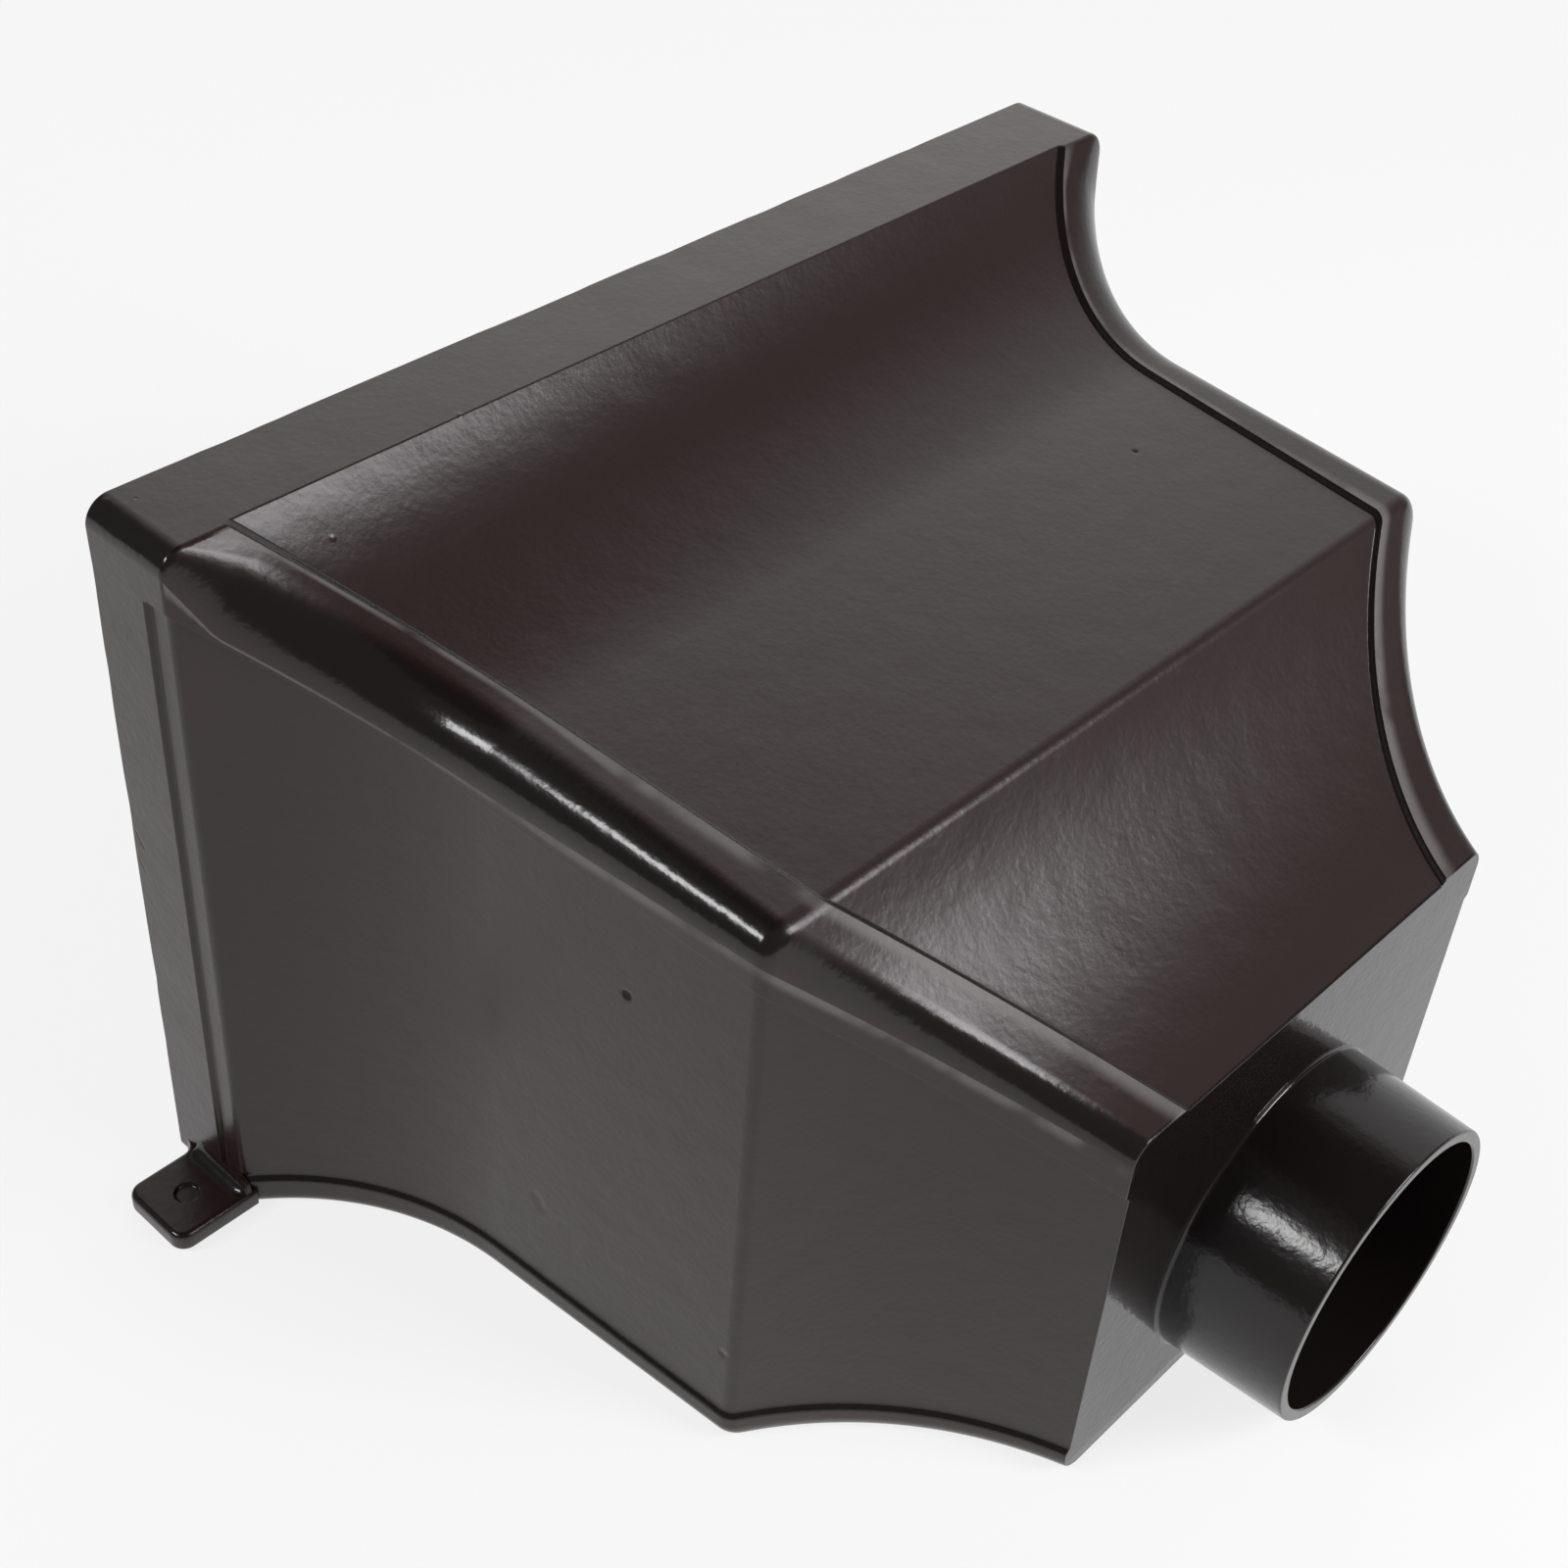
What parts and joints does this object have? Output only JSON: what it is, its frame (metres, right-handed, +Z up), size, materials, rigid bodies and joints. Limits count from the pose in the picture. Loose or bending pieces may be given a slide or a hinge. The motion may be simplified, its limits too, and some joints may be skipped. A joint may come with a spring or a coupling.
{
  "type": "rainwater hopper head",
  "caption": "Open box that hangs on a wall above a downpipe, collects roof water in its wide mouth and drains it through a round outlet spigot; one moulding with a fixing lug on each side",
  "frame": {"origin": "on the wall plane, in the middle of the width, level with the rim's top edge", "axes": "+X along the wall to the right as seen from outside, +Y into the wall, +Z up as it hangs"},
  "size_m": [0.3, 0.1687, 0.2172],
  "materials": {
    "brown_plastic": "glossy dark brown moulded plastic with a slight orange peel"
  },
  "bodies": {
    "root": {"hopper_head": "brown_plastic"}
  },
  "joints": []
}
